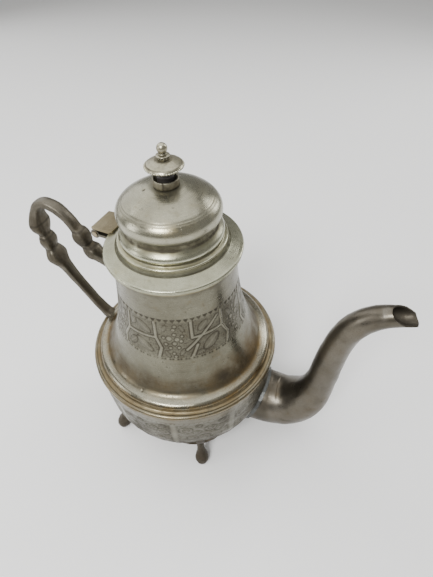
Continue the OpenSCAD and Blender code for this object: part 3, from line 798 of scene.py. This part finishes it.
for node_name in ("foot_front_left", "foot_front_right", "foot_rear_left", "foot_rear_right"):
    low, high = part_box(node_name)
    mount = next(m for m in frame["record"]["mounts"] if m["name"] == node_name.replace("foot", "rest"))
    across = Vector(mount["pos_m"]) - Vector((axis_x, 0, 0))
    angle = math.atan2(across.y, across.x)
    leg = turned(node_name + "_leg", foot_outline, 40)
    leg.data.transform(Matrix.Translation((axis_x, 0, 0)) @ Matrix.Rotation(angle, 4, "Z")
                       @ Matrix.Translation((across.length, 0, 0)) @ Matrix.Rotation(-foot_slope, 4, "Y")
                       @ Matrix.Translation((-axis_x, 0, 0)))
    # the lobed plate: rings drawn in towards the middle, then laid on the bowl
    bpy.ops.object.select_all(action="DESELECT")
    bpy.ops.mesh.primitive_circle_add(vertices=120, radius=1, enter_editmode=True)
    for ring in range(plate_rings):
        inwards = (plate_rings - 1 - ring + 0.001) / (plate_rings - ring + 0.001)
        bpy.ops.mesh.extrude_edges_move()
        bpy.ops.transform.resize(value=[inwards] * 3, center_override=(0, 0, 0))
    bpy.ops.mesh.select_all(action="SELECT")
    bpy.ops.mesh.remove_doubles(threshold=0.001)
    bpy.ops.mesh.normals_make_consistent(inside=False)
    bpy.ops.object.mode_set(mode="OBJECT")
    plate = bpy.context.object
    for vertex in plate.data.vertices:
        share = vertex.co.length
        way = math.atan2(vertex.co.y, vertex.co.x)
        spread = 8.6 + 2.6 * math.cos(lobes * (way - math.pi / 2))
        spread += 2.2 if abs(math.cos(way)) > 0.8 else 0
        sideways = share * spread * 1.15 * math.cos(way)
        height = plate_level + share * spread * 0.85 * math.sin(way)
        crown = 1.9 * (1 - share ** 3) + 0.5 * math.cos(lobes * way) * share * (1 - share)
        wall = bowl_radius(height) - 0.4 + crown
        outwards = math.sqrt(max(0, wall * wall - sideways * sideways))
        vertex.co = Vector((axis_x + (outwards * math.cos(angle) - sideways * math.sin(angle)) * mm,
                            (outwards * math.sin(angle) + sideways * math.cos(angle)) * mm, height * mm))
    plate.select_set(True)
    leg.select_set(True)
    bpy.context.view_layer.objects.active = leg
    bpy.ops.object.join()
    bpy.ops.object.mode_set(mode="EDIT")
    bpy.ops.mesh.select_all(action="SELECT")
    bpy.ops.mesh.normals_make_consistent(inside=False)
    bpy.ops.object.mode_set(mode="OBJECT")
    for vertex in leg.data.vertices:
        x, y, z = (vertex.co.x - axis_x) / mm, vertex.co.y / mm, vertex.co.z / mm
        wall = bowl_radius(z) - 0.6
        span = math.hypot(x, y)
        if span < wall:
            vertex.co.x = axis_x + x * wall / span * mm
            vertex.co.y = y * wall / span * mm
        vertex.co.z = max(vertex.co.z, 0)
    worked(leg, foot_marks)
    fitted(leg, "pot", [node_name], foot_patina, crease=60)

# ---- Hinge ----
# A strap hinge with three knuckles: the fixed leaf is soldered to the ring under the mouth, the
# turning leaf to the lid's flange, and a brass pin runs through both.
carried(["hinge_bracket"], cast_patina)
hardware_brass = aged_metal("hardware_brass", (0.36, 0.30, 0.20), (0.24, 0.19, 0.12),
                            (0.34, 0.24, 0.11), 0.4)
carried(["hinge_pin", "finial_stud", "finial_washer", "finial_nut"], hardware_brass)
lid_plate = aged_metal("lid_plate", (0.36, 0.36, 0.265), (0.28, 0.275, 0.195), (0.28, 0.235, 0.09), 0.29,
                       turning=0.5, pitting=0.3, patches=0.22)
carried(["lid_leaf"], bare_brass)

# ---- Lid flange ----
# The lid's base is spun with a broad sloping brim, a step and a groove, a round bead and a narrow
# waist under the dome. Its plate is paler, with a yellow bloom, grime in the grooves, painted shade
# on the step's riser and under the dome, and a painted highlight on the step's tread.
flange_low, flange_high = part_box("lid_flange")
brim = flange_high.y / mm
base = flange_low.z / mm
flange_top = arc_line(brim - 1.2, base + 2.1, 1.2, -60, 75, 9)
flange_top += spaced([(brim - 1.6, base + 3.3), (35.4, 182.2)], 1.0)
flange_top += [(34.9, 181.9), (34.4, 181.95), (34.05, 182.6), (33.85, 183.8), (33.75, 184.9)]
flange_top += arc_line(32.8, 185.3, 0.95, 5, 85, 6)
flange_top += [(31.7, 186.5), (31.3, 186.7), (31.0, 187.2), (31.0, 187.8)]
flange_top += smooth_line([(31.3, 188.4), (31.75, 190), (31.1, 191.9), (29.5, 193.6), (28.2, 195.4),
                           (27.85, 197.4), (28.2, 199.2)], 5)
flange_under = [(26.4, 199.2), (26.7, 195.4), (28.4, 192.4), (30.1, 190.4), (29.6, 186.3), (32.2, 184.8),
                (33, 180.7), (41.5, 178.2), (41.9, base), (brim - 0.5, base)]
flange = turned("flange_spinning", flange_top + flange_under, 240)


def flange_marks(spot, normal):
    radius = math.hypot(spot.x, spot.y)
    angle = math.degrees(math.atan2(spot.y, spot.x))
    if normal.z < -0.6:
        return 0, 0.35, 0.35, 0
    lift = 0.10 * noise.noise(spot * 0.08) if radius > 36 else 0
    # painted shade on the step's riser: the term at radius 34.6 here and the one at height 183.3 below;
    # the groove at height 187.4 has grime
    grime_and_shade = 0.85 * near(radius, 34.6, 0.9) + 0.8 * near(spot.z, 187.4, 1.0)
    # painted shadow under the dome's overhang: the term at height 196.8 here and the one at radius 28.4
    # below; the line at height 195.4 has grime
    grime_and_shade += 0.35 * near(spot.z, 183.3, 1.3) + 0.85 * near(spot.z, 196.8, 4.4)
    grime_and_shade += 0.8 * near(spot.z, 195.4, 0.5) + 0.6 * near(radius, 28.4, 0.5)
    spots = noise.noise(spot * 0.5 + Vector((3, 1, 0)))
    grime_and_shade += 0.5 * max(0.0, spots - 0.35)
    warmth = 0.45 * near(spot.z, 186, 4) + 0.6 * near(spot.z, 196, 4.5)
    patch = near(wrapped(angle, -110, 360), 0, 22) * near(radius, 40.5, 3)
    warmth += 0.8 * patch * mottle(spot, 0.3)
    # painted highlight: the tread of the step at radius 33.4 is brightened where it faces up
    wear_and_sheen = 0.9 * near(spot.z, 190.3, 2.2) + 0.7 * near(radius, 33.4, 0.9) * max(0.0, normal.z)
    wear_and_sheen += 0.45 * near(radius, brim - 0.6, 1.1)
    return lift, min(1.0, grime_and_shade), warmth, min(1.0, wear_and_sheen)


worked(flange, flange_marks)
fitted(flange, "lid", ["lid_flange"], lid_plate)

# ---- Dome ----
# The dome is spun separately and pressed on the waist. Fine turning lines and two scribed lines run
# round it, and a small steam vent is pierced beside the boss.
dome_low, dome_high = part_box("lid_dome")
dome_top = dome_high.z / mm
dome_outline = smooth_line(
    [(27.9, dome_low.z / mm), (29.2, 199.6), (30.4, 201.4), (30.8, 204), (30.1, 207.3), (27.8, 210.4),
     (23.8, 213.4), (18.4, 216.3), (12.8, 218.2), (8.6, dome_top - 0.1), (1.6, dome_top)], 9)
dome_inner = [(1.6, dome_top - 1.2), (8.4, dome_top - 1.3)] + smooth_line(
    [(12.4, 217.0), (18, 215.1), (23.2, 212.3), (27, 209.4), (29, 206.6), (29.6, 204), (29.2, 202),
     (28, 200.7)], 3)
dome = turned("dome_spinning", spaced(dome_outline, 0.6) + dome_inner, 240)
dome_vent = (12.5, -145)


def dome_marks(spot, normal):
    radius = math.hypot(spot.x, spot.y)
    angle = math.degrees(math.atan2(spot.y, spot.x))
    if spot.z < dome_outline[0][1] + 0.4 or normal.z < -0.75:
        return 0, 0.45, 0.4, 0
    lift = 0.16 * noise.noise(spot * 0.09) * near(radius, 18, 18)
    grime_and_shade = 0
    for line in (26.2, 27.3):
        scribe = near(radius, line, 0.34) * (spot.z > 206)
        lift -= 0.10 * scribe
        grime_and_shade += 0.55 * scribe
    vent = math.hypot(radius - dome_vent[0], math.radians(wrapped(angle, dome_vent[1], 360)) * radius)
    if spot.z > 210:
        grime_and_shade += 1.3 * near(vent, 0, 1.2)
        lift -= 0.7 * near(vent, 0, 1.1)
    grime_and_shade += 0.35 * near(radius, 8.2, 2.2)
    # painted shade: the term at height 201 darkens the dome's lower bulge to dim its reflection; the one
    # at 199.8 is grime at the join
    grime_and_shade += 0.5 * near(spot.z, 199.8, 1.0) + 0.3 * near(spot.z, 201, 3.5)
    spots = noise.noise(spot * 0.42)
    grime_and_shade += 0.6 * max(0.0, spots - 0.42)
    warmth = 0.7 * near(wrapped(angle, -62, 360), 0, 34) * near(spot.z, 208.5, 4.5) + 0.12
    wear_and_sheen = 0.35 * near(spot.z, 205.5, 5)
    return lift, min(1.0, grime_and_shade), warmth, wear_and_sheen


worked(dome, dome_marks)
dome_plate = aged_metal("dome_plate", (0.34, 0.333, 0.258), (0.255, 0.246, 0.187),
                        (0.31, 0.25, 0.12), 0.27, turning=0.4, pitting=0.4, patches=0.18)
fitted(dome, "lid", ["lid_dome"], dome_plate)

# ---- Boss and spacer ----
# A small cup is soldered on the dome to steady the finial, and a near-black turned spacer stands
# in it on the stud.
boss_low, boss_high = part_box("lid_boss")
boss_foot = boss_low.z / mm
boss_lip = boss_high.y / mm
boss_top = boss_high.z / mm
stud_hole = 1.55
boss = turned("boss_cup", [(stud_hole, boss_foot), (boss_lip - 0.7, boss_foot)]
              + smooth_line([(boss_lip - 0.25, boss_foot + 0.5), (boss_lip - 0.1, boss_foot + 1.4),
                             (boss_lip - 0.2, boss_foot + 2.8), (boss_lip - 0.35, boss_top - 0.6)], 4)
              + arc_line(boss_lip - 0.8, boss_top - 0.45, 0.45, 0, 180, 6)
              + [(5.9, boss_foot + 2), (5.5, boss_foot + 1.4), (stud_hole, boss_foot + 1.4)], 96)
crack_angle = -78


def boss_marks(spot, normal):
    angle = math.degrees(math.atan2(spot.y, spot.x))
    crack = near(wrapped(angle, crack_angle + 3 * noise.noise(spot), 360), 0, 5)
    grime_and_shade = 0.6 + crack + 0.6 * near(spot.z, boss_foot, 0.8) + 0.4 * mottle(spot, 0.5)
    return -0.2 * crack, min(1.0, grime_and_shade), 0.35, 0.8 * near(spot.z, boss_top, 0.7)


worked(boss, boss_marks)
finial_plate = aged_metal("finial_plate", (0.42, 0.405, 0.305), (0.28, 0.265, 0.195),
                          (0.33, 0.25, 0.11), 0.32, turning=0.5, pitting=0.4, patches=0.3)
fitted(boss, "lid", ["lid_boss"], finial_plate)

spacer_low, spacer_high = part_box("finial_spacer")
spacer_foot = spacer_low.z / mm
spacer_top = spacer_high.z / mm
spacer_wide = spacer_high.y / mm
spacer_outline = [(stud_hole, spacer_foot), (spacer_wide - 0.5, spacer_foot)] + smooth_line(
    [(spacer_wide - 0.3, spacer_foot + 0.4), (spacer_wide - 0.5, spacer_foot + 3.6),
     (spacer_wide - 0.15, spacer_foot + 4.8), (spacer_wide - 0.55, spacer_foot + 6.0),
     (spacer_wide - 0.1, spacer_foot + 7.2), (spacer_wide - 0.3, spacer_top - 0.3)], 4)
spacer_outline.append((stud_hole, spacer_top))
spacer = turned("wooden_spacer", spacer_outline, 64)
# near-black, non-metallic finish for the spacer between the cup and the cap
near_black_finish = aged_metal("near_black_finish", (0.035, 0.03, 0.027), (0.018, 0.015, 0.013),
                        (0.06, 0.04, 0.025), 0.55, metallic=0.0, turning=0.8, pitting=0.3,
                        patches=0.3, dents=0.5)
fitted(spacer, "lid", ["finial_spacer"], near_black_finish)

# ---- Cap ----
# The finial's cap is a cast parasol with a row of small beads round its edge. It is threaded on the
# stud above the spacer, and a grooved ring and the end ball screw down on it.
cap_low, cap_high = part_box("finial_cap")
cap_foot = cap_low.z / mm
cap_wide = cap_high.y / mm
cap_top = cap_high.z / mm
cap = turned("finial_parasol", [(stud_hole, cap_foot), (cap_wide - 1.6, cap_foot),
                                (cap_wide - 0.5, cap_foot + 0.45)]
             + smooth_line([(cap_wide - 0.45, cap_foot + 1.0), (9.4, cap_foot + 2.15),
                            (7, cap_foot + 3.25), (4.6, cap_top - 0.1)], 6)
             + [(4.3, cap_top), (stud_hole, cap_top)], 160)
beads = 50
bead_size = 0.58


def joined(pieces):
    bpy.ops.object.select_all(action="DESELECT")
    for piece in pieces:
        piece.select_set(True)
    bpy.context.view_layer.objects.active = pieces[0]
    bpy.ops.object.join()
    return bpy.context.object


def ring_of(seed, count):
    """Copies of a seed piece all round the axis, each with its own mesh, joined to one"""
    copies = [seed]
    for k in range(1, count):
        turn = Matrix.Rotation(2 * math.pi * k / count, 4, "Z")
        copy = seed.copy()
        copy.data = seed.data.copy()
        copy.data.transform(Matrix.Translation((axis_x, 0, 0)) @ turn
                            @ Matrix.Translation((-axis_x, 0, 0)))
        bpy.context.scene.collection.objects.link(copy)
        copies.append(copy)
    return joined(copies)


def seed_bead(radius, height, size, squash):
    bpy.ops.object.select_all(action="DESELECT")
    bpy.ops.mesh.primitive_uv_sphere_add(segments=12, ring_count=8, radius=size * mm, enter_editmode=True)
    bpy.ops.transform.resize(value=(1, squash, 1), center_override=(0, 0, 0))
    bpy.ops.transform.translate(value=(axis_x + radius * mm, 0, height * mm))
    bpy.ops.object.mode_set(mode="OBJECT")
    return bpy.context.object


cap = joined([cap, ring_of(seed_bead(cap_wide - bead_size, cap_foot + 0.75, bead_size, 1.0), beads)])


def cap_marks(spot, normal):
    radius = math.hypot(spot.x, spot.y)
    # painted shade: faces under the parasol that look down are darkened
    grime_and_shade = 0.45 * mottle(spot, 0.8) + (0.5 if normal.z < -0.5 else 0)
    grime_and_shade += 0.9 * near(radius, cap_wide - 1.3, 0.45)
    grime_and_shade += 0.6 * near(radius, 4.4, 1.0) * (spot.z > cap_foot + 3)
    return 0.06 * noise.noise(spot * 0.7), min(1.0, grime_and_shade), 0.2, 0.7 * near(radius, cap_wide - 0.3, 0.6)


worked(cap, cap_marks)
fitted(cap, "lid", ["finial_cap"], finial_plate)

# ---- Petalled ring and end ball ----
# A little ring of petals under the ball, and a ball with a short neck, screwed on the end of the
# stud to hold the whole finial down.
petal_low, petal_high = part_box("finial_bead_ring")
petal_foot = petal_low.z / mm
petal_top = petal_high.z / mm
petal_wide = petal_high.y / mm
petal_count = 13
petal_side = smooth_line([(2.9, petal_foot + 1.2), (3.2, petal_foot + 1.7),
                          (petal_wide - 0.75, petal_foot + 2.0), (petal_wide - 0.8, petal_foot + 2.3),
                          (3.1, petal_top - 0.1)], 4)
petal_core = turned("petal_ring", [(stud_hole, petal_foot), (2.9, petal_foot), (3.0, petal_foot + 0.6)]
                    + petal_side + [(2.6, petal_top), (stud_hole, petal_top)], 96)
petals = joined([petal_core, ring_of(seed_bead(3.05, petal_foot + 0.95, 0.6, 1.15), petal_count)])


def petal_marks(spot, normal):
    # painted highlight: the ring's upward-facing surfaces are brightened
    return 0, 0.2 + 0.6 * near(spot.z, petal_foot + 1.2, 0.5), 0.2, 0.5 * max(0.0, normal.z)


worked(petals, petal_marks)
fitted(petals, "lid", ["finial_bead_ring"], finial_plate, crease=50)

ball_low, ball_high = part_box("finial_ball")
ball_foot = ball_low.z / mm
ball_size = ball_high.y / mm
ball_middle = ball_high.z / mm - ball_size
ball = turned("end_ball", [(stud_hole, ball_foot), (2.1, ball_foot), (2.25, ball_foot + 0.3),
                           (1.85, ball_foot + 0.8), (1.75, ball_foot + 1.3)]
              + arc_line(0, ball_middle, ball_size, -56, 90, 28)[:-1]
              + [(0, ball_middle + ball_size), (0, ball_foot + 2), (stud_hole, ball_foot + 2)], 64)


def ball_marks(spot, normal):
    grime_and_shade = 0.35 * mottle(spot, 0.7) + 0.8 * near(spot.z, ball_foot + 1, 1)
    # painted highlight: the ball's top is brightened where it faces up
    return 0.06 * noise.noise(spot * 0.5), grime_and_shade, 0.15, 0.5 * max(0, normal.z)


worked(ball, ball_marks)
fitted(ball, "lid", ["finial_ball"], finial_plate, crease=50)
